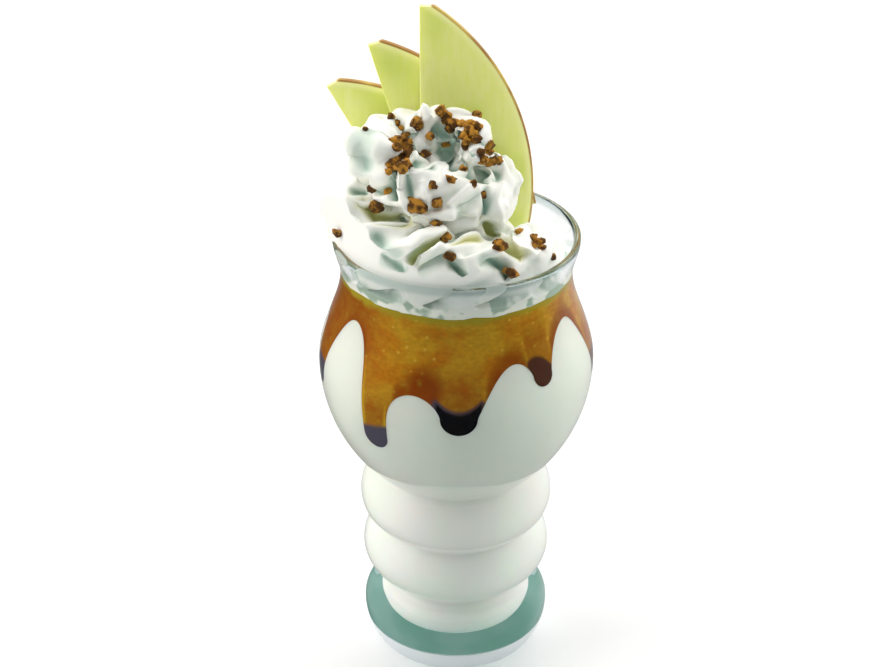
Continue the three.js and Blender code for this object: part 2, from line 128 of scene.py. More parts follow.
camera = bpy.data.objects.new("camera", bpy.data.cameras.new("camera"))
camera.data.sensor_width = SENSOR_WIDTH
camera.data.lens = FOCAL_PIXELS * SENSOR_WIDTH / PICTURE_WIDTH
camera.data.clip_start = NEAREST_SEEN
camera.location = LENS_PLACE
camera.rotation_euler = (math.pi / 2 - LENS_TILT, 0, 0)
bpy.context.scene.collection.objects.link(camera)
bpy.context.scene.camera = camera

TABLE_SIZE = 9000
TABLE_BELOW = 0.1
TABLE_MOTTLE = 40
TABLE_DEEP = (0.86, 0.86, 0.86, 1)
TABLE_PALE = (0.89, 0.89, 0.89, 1)
finish = new_finish("pale_table")
tree = finish.node_tree
mottle = grain(tree, place_on(tree), TABLE_MOTTLE)
shade = mixed(tree, mottle, TABLE_DEEP, TABLE_PALE)
surface = add(tree, "BsdfPrincipled", {"Base Color": shade, "Roughness": 0.6})
bm = bmesh.new()
bmesh.ops.create_grid(bm, size=TABLE_SIZE / 2 * MM)
bmesh.ops.translate(bm, vec=(0, 0, -TABLE_BELOW * MM), verts=bm.verts)
table = piece("table", bm, ended(finish, surface.outputs[0]), smooth=False)
table.visible_glossy = False

LAMPS = [
    {"name": "window_left", "place": (-2600, 200, 1300), "size": 2600, "power": 80,
     "tint": (1, 0.95, 0.92)},
    {"name": "window_right", "place": (2600, 600, 900), "size": 2600, "power": 61,
     "tint": (1, 0.97, 0.93)},
    {"name": "window_back", "place": (0, 2600, 1300), "size": 3200, "power": 58,
     "tint": (1, 0.99, 0.97)},
    {"name": "ceiling", "place": (0, 200, 1500), "size": 1500, "power": 17, "tint": (1, 1, 1)},
    {"name": "white_card", "place": (0, -2400, 130), "size": 1960, "power": 14,
     "tint": (0.8, 1, 0.98)},
]
LAMPS_AIM = Vector((0, 0, 110)) * MM
for lamp in LAMPS:
    light = bpy.data.lights.new(lamp["name"], "AREA")
    light.size = lamp["size"] * MM
    light.energy = lamp["power"]
    light.color = lamp["tint"]
    stand = bpy.data.objects.new(lamp["name"], light)
    stand.location = Vector(lamp["place"]) * MM
    stand.visible_glossy = False
    stand.rotation_euler = (LAMPS_AIM - stand.location).to_track_quat("-Z", "Y").to_euler()
    bpy.context.scene.collection.objects.link(stand)

# The room round the table is dark, and brightens towards its right back side.
ROOM_GLOW = 1.0
ROOM_DARK = (0.03, 0.03, 0.03, 1)
ROOM_LIGHT = (0.55, 0.55, 0.56, 1)
ROOM_BRIGHT_SIDE = (0.5, 0.866, 0)
ROOM_BRIGHTENS = (0.35, 0.95)
room = bpy.data.worlds.new("room")
room.use_nodes = True
bpy.context.scene.world = room
tree = room.node_tree
tree.nodes.clear()
direction = add(tree, "TexCoord").outputs["Generated"]
to_bright_side = add(tree, "VectorMath", {0: direction, 1: ROOM_BRIGHT_SIDE},
                     operation="DOT_PRODUCT").outputs["Value"]
glow = mixed(tree, spread(tree, to_bright_side, *ROOM_BRIGHTENS), ROOM_DARK, ROOM_LIGHT)
background = add(tree, "Background", {"Color": glow, "Strength": ROOM_GLOW})
add(tree, "OutputWorld", {"Surface": background.outputs[0]})
bpy.context.scene.view_settings.view_transform = "Standard"

# ---------------------------------------------------------------- the glass
# A blown tulip glass: a flared lip, a collar, a wide bulb, two rings and a thick, flared foot.
# It is one body turned about its axis, clear, with the faint green of thick soda glass. Above
# the contents its wall is painted grey and its lip dark, a painted shade. Its underside is ground
# dull and painted in dark green patches, a painted shade for the shadow under the foot, and the
# low edge of its foot is painted pale, painted light.

LIP_HEIGHT = 141
LIP_ROUND = 1
LIP_STEPS = 10
BULB_HEIGHT = 100.5
BULB_RADIUS = 41
STEM_RADIUS = 21.5
COLLAR_HEIGHT = 129.5
COLLAR_RADIUS = 34
LIP_RADIUS = 36.2
WALL = 2.2
WELL_FLOOR = 10.5
WELL_RADIUS = 18.5
CREASE_SOFTNESS = 0.62
BULGE_FALL = 3
# Each bulge from the foot up: height, radius, and its arc's radius above and below.
OUTER_BULGES = [(12.5, 28.7, 7.9, 18.4), (34.7, 28.8, 10.1, 10.1), (53.4, 29.4, 11, 11),
                (BULB_HEIGHT, BULB_RADIUS, 49.6, 49.6)]
INNER_BULGES = [(15.5, 22, 6.5, 5), (34.7, 24, 13, 13), (53.4, 25.9, 13, 13),
                (BULB_HEIGHT, BULB_RADIUS - WALL, 48, 48)]
PROFILE_STEP = 0.7
ROUND_STEPS = 128
FOOT_ROUND = [(-1.6, 0), (-0.7, 0.15), (-0.15, 0.55)]
FOOT_ROUND_TOP = 1.2
WELDED = 0.001


def ease(low, high, share):
    """A value on its way from low to high, slow at both ends."""
    return low + (high - low) * (1 - math.cos(math.pi * share)) / 2


def soft_max(values, softness):
    """The largest value, blended with the others where they come near it."""
    top = max(values)
    return top + softness * math.log(sum(math.exp((v - top) / softness) for v in values))


def bulge_radius(z, middle, radius, above, below):
    """Radius of one bulge at a height: an arc that falls away steeply past its own edge."""
    away, round_ = abs(z - middle), above if z > middle else below
    if away >= round_:
        return radius - round_ - BULGE_FALL * (away - round_)
    return radius - round_ + math.sqrt(round_ ** 2 - away ** 2)


def collar_radius(z):
    """Outer radius above the bulb: in to the collar and out again to the lip."""
    if z < COLLAR_HEIGHT:
        share = (z - BULB_HEIGHT) / (COLLAR_HEIGHT - BULB_HEIGHT)
        return ease(BULB_RADIUS, COLLAR_RADIUS, share)
    return ease(COLLAR_RADIUS, LIP_RADIUS, (z - COLLAR_HEIGHT) / (LIP_HEIGHT - COLLAR_HEIGHT))


def wall_radius(z, bulges, least, inwards):
    """Radius of one side of the wall at a height, from its bulges and its least radius."""
    if z > BULB_HEIGHT:
        return collar_radius(z) - inwards
    radii = [bulge_radius(z, *bulge) for bulge in bulges]
    return soft_max(radii + [least if z > bulges[0][0] else 0], CREASE_SOFTNESS)


def outer_radius(z):
    return wall_radius(z, OUTER_BULGES, STEM_RADIUS, 0)


def inner_radius(z):
    return wall_radius(z, INNER_BULGES, WELL_RADIUS, WALL)


def heights(low, high):
    """Even heights from low to high, a profile step or less apart."""
    count = math.ceil((high - low) / PROFILE_STEP)
    return [low + (high - low) * i / count for i in range(count + 1)]


def turned(outline, steps=ROUND_STEPS):
    """A closed body of revolution from (radius, height) points that run up its outside."""
    bm = bmesh.new()
    corners = [bm.verts.new((r * MM, 0, z * MM)) for r, z in outline]
    edges = [bm.edges.new(pair) for pair in zip(corners, corners[1:])]
    bmesh.ops.spin(bm, geom=corners + edges, cent=(0, 0, 0), axis=(0, 0, 1),
                   angle=math.tau, steps=steps, use_merge=True)
    bmesh.ops.remove_doubles(bm, verts=bm.verts, dist=WELDED * MM)
    bmesh.ops.recalc_face_normals(bm, faces=bm.faces)
    return bm


FOOT_RADIUS = outer_radius(0)
outside = [(outer_radius(z), z) for z in heights(FOOT_ROUND_TOP, LIP_HEIGHT - LIP_ROUND)]
inside = [(inner_radius(z), z) for z in heights(WELL_FLOOR, LIP_HEIGHT - LIP_ROUND)]
lip_middle = outside[-1][0] - LIP_ROUND
lip = [(lip_middle + LIP_ROUND * math.cos(math.pi * i / LIP_STEPS),
        LIP_HEIGHT - LIP_ROUND + LIP_ROUND * math.sin(math.pi * i / LIP_STEPS))
       for i in range(1, LIP_STEPS)]
foot = [(0, 0)] + [(FOOT_RADIUS + r, z) for r, z in FOOT_ROUND]
glass_outline = foot + outside + lip + inside[::-1] + [(0, WELL_FLOOR)]

GLASS_CLEAR = (0.96, 0.967, 0.975, 1)
GLASS_WALL_SHADE = (0.84, 0.84, 0.86, 1)
GLASS_LIP_SHADE = (0.42, 0.5, 0.5, 1)
GLASS_SHADOW = (0.93, 0.94, 0.935, 1)
GLASS_DEEP = (0.17, 0.55, 0.49, 1)
GLASS_DENSITY = 14
GLASS_IOR = 1.5
BARE_WALL = (132 * MM, 135 * MM)
LIP_EDGE = (138 * MM, 140 * MM)
RIPPLE_SIZE = 22
RIPPLE_DEPTH = 0.12
SMEAR_SIZE = 9
SMEAR_DULL = (0.004, 0.03)
PAINTED_LIGHT_HEIGHTS = (9.4 * MM, 8.272 * MM)
PAINTED_LIGHT_SHARE = 0.85
PAINTED_LIGHT_TINT = (0.9, 0.93, 0.97, 1)
UNDERSIDE = (0.3 * MM, 0.2 * MM)
GROUND_DULL = (0.5, 0.5, 0.5, 1)
UNDER_FOOT_SHADE_SIZE = 14
UNDER_FOOT_SHADE_SHARE = 0.8
UNDER_FOOT_SHADE_DEEP = (0.2, 0.42, 0.34, 1)
UNDER_FOOT_SHADE_PALE = (0.38, 0.52, 0.48, 1)
finish = new_finish("clear_glass")
tree = finish.node_tree
place = place_on(tree)
ripple = add(tree, "Bump", {"Height": grain(tree, place, RIPPLE_SIZE, 1),
                            "Distance": RIPPLE_DEPTH * MM, "Strength": 0.25})
smear = spread(tree, grain(tree, place, SMEAR_SIZE, 4), 0.35, 0.75, *SMEAR_DULL)
height = add(tree, "SeparateXYZ", {0: place}).outputs["Z"]
ground = spread(tree, height, *UNDERSIDE)
smear = mixed(tree, ground, smear, GROUND_DULL)
# Above the contents the glass is painted grey, and its lip dark teal: a painted shade.
tint = mixed(tree, spread(tree, height, *BARE_WALL), GLASS_CLEAR, GLASS_WALL_SHADE)
tint = mixed(tree, spread(tree, height, *LIP_EDGE), tint, GLASS_LIP_SHADE)
clear = add(tree, "BsdfPrincipled", {
    "Base Color": tint, "Roughness": smear, "IOR": GLASS_IOR,
    "Transmission Weight": 1, "Normal": ripple.outputs[0]})
lit_through = add(tree, "BsdfTransparent", {"Color": GLASS_SHADOW})
# The foot's low edge is painted pale, painted light standing for light bent through the foot.
painted_light_edge = add(tree, "BsdfPrincipled", {"Base Color": PAINTED_LIGHT_TINT, "Roughness": 0.6})
painted_light_share = spread(tree, height, *PAINTED_LIGHT_HEIGHTS, 0.0, PAINTED_LIGHT_SHARE)
surface = add(tree, "MixShader", {0: painted_light_share, 1: clear.outputs[0], 2: painted_light_edge.outputs[0]}).outputs[0]
# The ground underside is painted dark green in patches, a painted shade for the shadowed table under
# the foot.
patches = spread(tree, grain(tree, place, UNDER_FOOT_SHADE_SIZE, 2), 0.4, 0.65)
shade_green = mixed(tree, patches, UNDER_FOOT_SHADE_DEEP, UNDER_FOOT_SHADE_PALE)
under_foot_shade = add(tree, "BsdfDiffuse", {"Color": shade_green}).outputs[0]
under_foot_shade_share = add(tree, "Math", {0: ground, 1: UNDER_FOOT_SHADE_SHARE}, operation="MULTIPLY").outputs[0]
surface = add(tree, "MixShader", {0: under_foot_shade_share, 1: surface, 2: under_foot_shade}).outputs[0]
shadow = add(tree, "LightPath").outputs["Is Shadow Ray"]
surface = add(tree, "MixShader", {0: shadow, 1: surface, 2: lit_through.outputs[0]})
body = add(tree, "VolumeAbsorption", {"Color": GLASS_DEEP, "Density": GLASS_DENSITY})
CLEAR_GLASS = ended(finish, surface.outputs[0], body.outputs[0])

glass = piece("ribbed_glass", turned(glass_outline), CLEAR_GLASS)
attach(glass, "root")
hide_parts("glass")

# ---------------------------------------------------------------- the shake
# Cold white shake fills the glass from its floor to the sauce. It wets the wall, so its skin is
# let a hair's breadth into the glass. It is thick and soft, with a few fine bubbles at the wall.
# Across the bulb it is painted greyer and darker, a painted shade.

WETTING = 0.08
SHAKE_TOP = 124
SHAKE_WHITE = light_of(245, 239, 236)
SHAKE_SHADE = light_of(241, 242, 233)
SHAKE_BULB_SHADE = light_of(226, 230, 220)
BULB_SHADE_HEIGHTS = (58 * MM, 85 * MM)
BULB_SHADE_SHARE = 0.75
CLOUD_SIZE = 16
BUBBLE_SIZE = 2.2
BUBBLE_DEPTH = 0.02
SHARP_EDGE = math.radians(60)

finish = new_finish("thick_shake")
tree = finish.node_tree
place = place_on(tree)
cloud = spread(tree, grain(tree, place, CLOUD_SIZE, 3), 0.35, 0.7)
tone = mixed(tree, cloud, SHAKE_WHITE, SHAKE_SHADE)
height = add(tree, "SeparateXYZ", {0: place}).outputs["Z"]
# From 58 mm up the shake is painted greyer, a painted shade across the bulb.
tone = mixed(tree, spread(tree, height, *BULB_SHADE_HEIGHTS, 0.0, BULB_SHADE_SHARE), tone, SHAKE_BULB_SHADE)
bubbles = add(tree, "TexVoronoi", {"Vector": place, "Scale": 1 / (BUBBLE_SIZE * MM)})
pits = spread(tree, bubbles.outputs["Distance"], 0.0, 0.22)
skin = add(tree, "Bump", {"Height": pits, "Distance": BUBBLE_DEPTH * MM, "Strength": 0.2})
surface = add(tree, "BsdfPrincipled", {
    "Base Color": tone, "Roughness": 0.42, "Specular IOR Level": 0.1, "Subsurface Weight": 0.7,
    "Subsurface Radius": (1.0, 0.85, 0.7), "Subsurface Scale": 2.5 * MM,
    "Normal": skin.outputs[0]})
THICK_SHAKE = ended(finish, surface.outputs[0])


def wetted(bm, depth):
    """Lets a filling's skin a little into the wall that it wets."""
    bm.normal_update()
    moves = [(vertex, vertex.normal * depth * MM) for vertex in bm.verts]
    for vertex, move in moves:
        vertex.co += move
    return bm


shake_outline = [(0, WELL_FLOOR)] + [(inner_radius(z), z) for z in heights(WELL_FLOOR, SHAKE_TOP)]
shake_outline.append((0, SHAKE_TOP))
shake = piece("thick_shake", wetted(turned(shake_outline), WETTING), THICK_SHAKE)
shake.data.set_sharp_from_angle(angle=SHARP_EDGE)
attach(shake, "root")
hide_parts("milkshake")

# ---------------------------------------------------------------- the sauce
# Amber sauce lies on the shake and has run down inside the wall in nine tongues. A run is thin
# and golden brown where it clings to the glass, and nearly black in the bead at its tip. Its left
# side is painted darker, a painted shade, and the beads on the left are painted grey, a painted sheen.

SAUCE_TOP = 130.5
SAUCE_BED = 124.2
CURTAIN_THICKNESS = 2.6
CURTAIN_SHORTEST = 1
CURTAIN_TURN = 0.6
FINEST_TURN = 0.02
CURTAIN_RISE = 0.8
CURTAIN_ROWS = 40
HEM_ROW = CURTAIN_ROWS + 1
LAST_ROW = HEM_ROW + 3
HEM_DROP = 0.2
SAUCE_WETTING = 0.16
RUN_RADIUS = BULB_RADIUS - WALL
MM_PER_DEGREE = RUN_RADIUS * math.radians(1)
# Each run: bearing from the front in degrees, width, height of its tip, how gently its left and
# right edges rise from it, then the bearing and height of the arch after it. Its bead: how dark
# it is, and how far above the tip it reaches at the run's left side, middle and right side.
RUNS = [(-80, 7.5, 95.5, 0.5, 0.72, -57, 121.5, (0.8, 8.3, 8.3, 8.3)),
        (-36.8, 8.2, 87.1, 0.35, 0.25, -19, 107.4, (0.75, 6.6, 7.4, 8.6)),
        (0.8, 10.6, 96.1, 0.68, 1, 27, 115, (1, 9.6, 7.3, 9.4)),
        (40.4, 7, 106.5, 0.68, 0.8, 63, 121, (0.82, 8.5, 8.3, 5.4)),
        (84, 6.5, 97, 0.8, 0.5, 106, 118, (0.75, 8, 8, 8))]
BACK_RUNS = 4
BACK_SEED = 31
BACK_SWAY = 0.3
BACK_WIDTHS = (6, 10)
BACK_TIPS = (93, 107)
BACK_ARCHES = (111, 123)
BACK_FROM, BACK_TO = 84, 280
BACK_GENTLE = 0.5
BACK_BEAD = (0.8, 8, 8, 8)


def draws(seed):
    """Random draws between 0 and 1, the same each time."""
    state = seed
    while True:
        state = state * 16807 % 2147483647
        yield state / 2147483647


def between(draw, low, high):
    """The next draw, laid between two values."""
    return low + (high - low) * next(draw)


draw = draws(BACK_SEED)
step = (BACK_TO - BACK_FROM) / (BACK_RUNS + 1)
for i in range(1, BACK_RUNS + 1):
    bearing = BACK_FROM + step * (i + BACK_SWAY * (next(draw) - 0.5))
    width, tip = between(draw, *BACK_WIDTHS), between(draw, *BACK_TIPS)
    arch = between(draw, *BACK_ARCHES)
    RUNS.append((bearing, width, tip, BACK_GENTLE, BACK_GENTLE,
                 BACK_FROM + step * (i + 0.5), arch, BACK_BEAD))


def curtain_edge(bearing):
    """Height of the sauce's lower edge at a bearing, and the run that it belongs to."""
    at = (bearing - RUNS[0][0]) % 360 + RUNS[0][0]
    left = [run for run in RUNS if run[0] <= at][-1]
    arch, top = left[5:7]
    run, gentle = left, left[4]
    if at > arch:
        run = RUNS[(RUNS.index(left) + 1) % len(RUNS)]
        at, gentle = at - (360 if run is RUNS[0] else 0), run[3]
        arch -= 360 if run is RUNS[0] else 0
    away, half = abs(at - run[0]) * MM_PER_DEGREE, run[1] / 2
    if away < half:
        return run[2] + half - math.sqrt(half ** 2 - away ** 2), run
    share = (away - half) / (abs(arch - run[0]) * MM_PER_DEGREE - half)
    return run[2] + half + (top - run[2] - half) * (1 - (1 - share) ** 2) ** gentle, run


def bearing_of(vertex):
    """Bearing of a point in degrees, 0 at the front and growing to the right."""
    return math.degrees(math.atan2(vertex.co.x, -vertex.co.y))


def faded(value, full, none):
    """1 at full, 0 at none, eased between."""
    share = min(max((value - none) / (full - none), 0), 1)
    return share * share * (3 - 2 * share)


AMBER = light_of(198, 150, 38)
AMBER_WARM = light_of(188, 120, 24)
AMBER_SPECK = light_of(214, 172, 60)
AMBER_BROWN = light_of(134, 58, 9)
AMBER_YELLOW = light_of(214, 180, 40)
AMBER_PALE = light_of(170, 152, 44)
BEAD_SHEEN = light_of(80, 76, 90)
BEAD_BROWN = light_of(78, 46, 34)
BEAD_BLACK = light_of(2, 2, 5)
SHEEN_TO_BROWN = (-20 * MM, 20 * MM)
STREAK_SIZE = 9
STREAK_SCALE = (1, 1, 1.6)
DROP_SIZE = 3.4
DROP_DEPTH = 0.08
HAZE_SIZE = 1.5
HAZE_SHADES = (0.86, 1.1)
RAG_SIZE = 3
SAUCE_MARKS = ("brown_and_shade", "fringe", "pale", "bead")
finish = new_finish("amber_sauce")
tree = finish.node_tree
place = place_on(tree)
streaks = add(tree, "Mapping", {"Vector": place, "Scale": STREAK_SCALE}).outputs[0]
streak = spread(tree, grain(tree, streaks, STREAK_SIZE, 2), 0.38, 0.66)
tone = mixed(tree, streak, AMBER, AMBER_WARM)
drops = add(tree, "TexVoronoi", {"Vector": place, "Scale": 1 / (DROP_SIZE * MM)})
drops = drops.outputs["Distance"]
tone = mixed(tree, spread(tree, drops, 0.2, 0.1), tone, AMBER_SPECK)
haze = spread(tree, grain(tree, streaks, HAZE_SIZE, 3), 0.3, 0.75, *HAZE_SHADES)
haze = add(tree, "CombineColor", {0: haze, 1: haze, 2: haze}).outputs[0]
tone = mixed(tree, 1.0, tone, haze, "MULTIPLY")
marks = {name: add(tree, "Attribute", attribute_name=name).outputs["Fac"] for name in SAUCE_MARKS}
tone = mixed(tree, marks["brown_and_shade"], tone, AMBER_BROWN)
tone = mixed(tree, marks["fringe"], tone, AMBER_YELLOW)
ragged = add(tree, "Math", {0: marks["pale"], 1: grain(tree, place, RAG_SIZE, 3)},
             operation="ADD").outputs[0]
tone = mixed(tree, spread(tree, ragged, 0.55, 1.2), tone, AMBER_PALE)
across = add(tree, "SeparateXYZ", {0: place}).outputs["X"]
# The beads are painted grey on the left, a painted sheen, and brown on the right.
bead_sheen_tone = mixed(tree, spread(tree, across, *SHEEN_TO_BROWN), BEAD_SHEEN, BEAD_BROWN)
tone = mixed(tree, spread(tree, marks["bead"], 0.0, 0.7), tone, bead_sheen_tone)
tone = mixed(tree, spread(tree, marks["bead"], 0.8, 1.0), tone, BEAD_BLACK)
dimple = add(tree, "Bump", {"Height": drops, "Distance": DROP_DEPTH * MM, "Strength": 0.25})
surface = add(tree, "BsdfPrincipled", {"Base Color": tone, "Roughness": 0.3,
                                       "Specular IOR Level": 0.05, "Normal": dimple.outputs[0]})
AMBER_SAUCE = ended(finish, surface.outputs[0])

TOP_DIP = 0.2
TOP_SWAY = 1.0
TOP_WAVES = 4.5
FINE_SWAY = 0.4
FINE_WAVES = 4


def sauce_top(bearing):
    """Height of the sauce's upper edge at the wall, which the cream has pushed up and down."""
    turn = math.radians(bearing)
    spot = Vector((math.sin(turn), math.cos(turn), 0)) * TOP_WAVES
    sway = noise.noise(spot) + FINE_SWAY * noise.noise(spot * FINE_WAVES)
    return SAUCE_TOP - TOP_DIP + TOP_SWAY * sway


def sauce_place(bearing, row):
    """Radius and height of one row of the sauce, from its upper edge down and back inside."""
    high = sauce_top(bearing)
    low = min(curtain_edge(bearing)[0], SAUCE_BED - CURTAIN_SHORTEST)
    if row <= CURTAIN_ROWS:
        z = high + (low - high) * row / CURTAIN_ROWS
        return inner_radius(z) + SAUCE_WETTING, z
    if row == HEM_ROW:
        return inner_radius(low) - CURTAIN_THICKNESS / 2, low - HEM_DROP
    z = (low, (low + SAUCE_BED) / 2, SAUCE_BED)[row - HEM_ROW - 1]
    return inner_radius(z) - CURTAIN_THICKNESS, z


def set_row(verts, row):
    """Moves the points of one row out to their radius and height."""
    for vertex in verts:
        r, z = sauce_place(bearing_of(vertex), row)
        out = Vector((vertex.co.x, vertex.co.y, 0)).normalized() * r * MM
        vertex.co = (out.x, out.y, z * MM)


def drawn_on(bm, edges):
    """Extrudes an open edge, and gives the new open edge and its points."""
    made = bmesh.ops.extrude_edge_only(bm, edges=edges)["geom"]
    open_edges = [e for e in made if isinstance(e, bmesh.types.BMEdge) and e.is_boundary]
    return open_edges, [v for v in made if isinstance(v, bmesh.types.BMVert)]


bearings = [-180.0]
while bearings[-1] < 180:
    turn, here = CURTAIN_TURN, curtain_edge(bearings[-1])[0]
    while turn > FINEST_TURN and abs(curtain_edge(bearings[-1] + turn)[0] - here) > CURTAIN_RISE:
        turn /= 2
    bearings.append(bearings[-1] + turn)
bm = bmesh.new()
circle = bmesh.ops.create_circle(bm, cap_ends=False, segments=len(bearings) - 1, radius=1)["verts"]
for vertex, bearing in zip(circle, bearings):
    vertex.co = (math.sin(math.radians(bearing)), -math.cos(math.radians(bearing)), 0)
edges = top_edges = list(bm.edges)
set_row(bm.verts, 0)
for row in range(1, LAST_ROW + 1):
    edges, made = drawn_on(bm, edges)
    set_row(made, row)
bmesh.ops.contextual_create(bm, geom=top_edges)
bmesh.ops.contextual_create(bm, geom=edges)
bmesh.ops.recalc_face_normals(bm, faces=bm.faces)

# Where the sauce is painted browner: its share, where it is full, and where it ends, in mm above the
# curtain's edge, in mm above a run's tip, in degrees from a bearing, and in mm from a spot. The
# mark by a bearing is a painted shade on the left side.
BROWN_EDGE = (0.85, 1, 8)
BROWN_RUN = (0.55, 12, 24)
PAINTED_SHADE_SIDE = (0.75, 20, 45)
PAINTED_SHADE_BEARING = -75
BROWN_SPOT = (0.95, 3, 10)
BROWN_SPOT_BEARING = -14
BROWN_SPOT_HEIGHT = 109
FRINGE_TURNS = (0.35, 0.8, 1.3, 1.9)
FRINGE = (0.75, 6, 2)
PALE_TOP = (SAUCE_TOP + 1, SAUCE_TOP - 4)
# Where a run ends at its sides, and how far out its bead is shaped, in halves of its width.
RUN_ENDS = (1.1, 1.7)
BEAD_SIDE = 1.2
# How softly the bead ends at its top, in mm.
BEAD_SOFT_BELOW = 1.0
BEAD_SOFT_ABOVE = 1.2


def marked(mark, value):
    """A mark's share, full at one value and gone at another."""
    return mark[0] * faded(value, mark[1], mark[2])


layers = {name: bm.verts.layers.float.new(name) for name in SAUCE_MARKS}
for vertex in bm.verts:
    bearing, z = bearing_of(vertex), vertex.co.z / MM
    low, run = curtain_edge(bearing)
    across = ((bearing - run[0] + 180) % 360 - 180) * MM_PER_DEGREE / (run[1] / 2)
    dark, at_left, at_middle, at_right = run[7]
    side = min(max(across, -BEAD_SIDE), BEAD_SIDE)
    top = at_middle + (at_right - at_left) / 2 * side
    top += ((at_left + at_right) / 2 - at_middle) * side ** 2
    in_run = faded(abs(across), *RUN_ENDS)
    in_bead = faded(z - run[2], top - BEAD_SOFT_BELOW, top + BEAD_SOFT_ABOVE)
    vertex[layers["bead"]] = dark * in_run * in_bead
    beside = [curtain_edge(bearing + turn)[0] > z or curtain_edge(bearing - turn)[0] > z
              for turn in FRINGE_TURNS]
    vertex[layers["fringe"]] = marked(FRINGE, z - low) * sum(beside) / len(beside)
    from_spot = math.hypot((bearing - BROWN_SPOT_BEARING) * MM_PER_DEGREE, z - BROWN_SPOT_HEIGHT)
    # The mark by a bearing paints the left side darker, a painted shade.
    vertex[layers["brown_and_shade"]] = max(marked(BROWN_EDGE, z - low) * (1 - in_run),
                                  marked(BROWN_RUN, z - run[2]) * in_run,
                                  marked(PAINTED_SHADE_SIDE, abs(bearing - PAINTED_SHADE_BEARING)),
                                  marked(BROWN_SPOT, from_spot))
    vertex[layers["pale"]] = faded(z, *PALE_TOP)
sauce = piece("amber_sauce", bm, AMBER_SAUCE)
sauce.data.set_sharp_from_angle(angle=SHARP_EDGE)
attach(sauce, "root")
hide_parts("sauce")

# ---------------------------------------------------------------- the apple slices
# Three thin slices of green-yellow apple fanned behind the cream. Each is cut straight on the
# left and keeps its skin on the round right edge. They stand with their feet in the cream.

SLICE_THICKNESS = 2.6
SKIN_RADIUS = 65.4
CUT_FROM_CENTRE = 32.3
TIP_BLUNTED = 2.7
SLICE_FOOT = SAUCE_TOP + 3
FAN_LEAN = math.radians(7)
FAN_LEVEL = 150
SKIN_STEPS = 64
HALF_CHORD = math.sqrt(SKIN_RADIUS ** 2 - CUT_FROM_CENTRE ** 2)
CUT_ROUND = 0.3
CUT_SHARP = math.radians(40)
# Each slice: its solid, its own name, where its tip lies from left to right and in height, how
# far back it stands, and how many degrees it is turned.
SLICES = [("apple_slice_1", "tall_slice", -10.6, 206, 13, 0),
          ("apple_slice_2", "middle_slice", -26.2, 193.4, 16.4, 17),
          ("apple_slice_3", "low_slice", -39, 179.6, 19.8, 30)]

FLESH = light_of(236, 240, 146)
FLESH_PALE = light_of(246, 246, 184)
FLESH_DEEP = light_of(226, 233, 128)
SKIN_TAN = light_of(200, 172, 96)
SKIN_RED = light_of(166, 124, 70)
# The cut face is mapped at so many mm to one, and its tones follow the depth under the skin.
MAP_SPAN = 100
PALE_UNDER_SKIN = (3 / MAP_SPAN, 0.8 / MAP_SPAN)
SKIN_DEPTH = (0.8 / MAP_SPAN, 0.4 / MAP_SPAN)
FIBRE_SIZE = 1.6
FIBRE_SCALE = (1, 1, 0.25)
FIBRE_DEPTH = 0.08
FIBRE_SHARE = 0.5
FLESH_PATCH = 18
SKIN_PATCH = 12
finish = new_finish("apple_flesh")
tree = finish.node_tree
cut_face = add(tree, "UVMap", uv_map="cut_face").outputs[0]
core = (-CUT_FROM_CENTRE / MAP_SPAN, -HALF_CHORD / MAP_SPAN, 0)
from_core = add(tree, "VectorMath", {0: cut_face, 1: core}, operation="DISTANCE").outputs["Value"]
under_skin = add(tree, "Math", {0: SKIN_RADIUS / MAP_SPAN, 1: from_core},
                 operation="SUBTRACT").outputs[0]
place = place_on(tree)
fibres = add(tree, "Mapping", {"Vector": place, "Scale": FIBRE_SCALE}).outputs[0]
fibre = grain(tree, fibres, FIBRE_SIZE, 3)
tone = mixed(tree, spread(tree, fibre, 0.3, 0.7, 0.0, FIBRE_SHARE), FLESH, FLESH_PALE)
patches = spread(tree, grain(tree, place, FLESH_PATCH, 1), 0.35, 0.65)
tone = mixed(tree, patches, tone, FLESH_DEEP)
tone = mixed(tree, spread(tree, under_skin, *PALE_UNDER_SKIN), tone, FLESH_PALE)
patches = spread(tree, grain(tree, place, SKIN_PATCH, 2), 0.4, 0.6)
skin_tone = mixed(tree, patches, SKIN_TAN, SKIN_RED)
tone = mixed(tree, spread(tree, under_skin, *SKIN_DEPTH), tone, skin_tone)
moist = add(tree, "Bump", {"Height": fibre, "Distance": FIBRE_DEPTH * MM, "Strength": 0.4})
surface = add(tree, "BsdfPrincipled", {
    "Base Color": tone, "Roughness": 0.4, "Subsurface Weight": 0.6,
    "Subsurface Radius": (1.0, 1.0, 0.4), "Subsurface Scale": 2.5 * MM,
    "Normal": moist.outputs[0]})
APPLE_FLESH = ended(finish, surface.outputs[0])

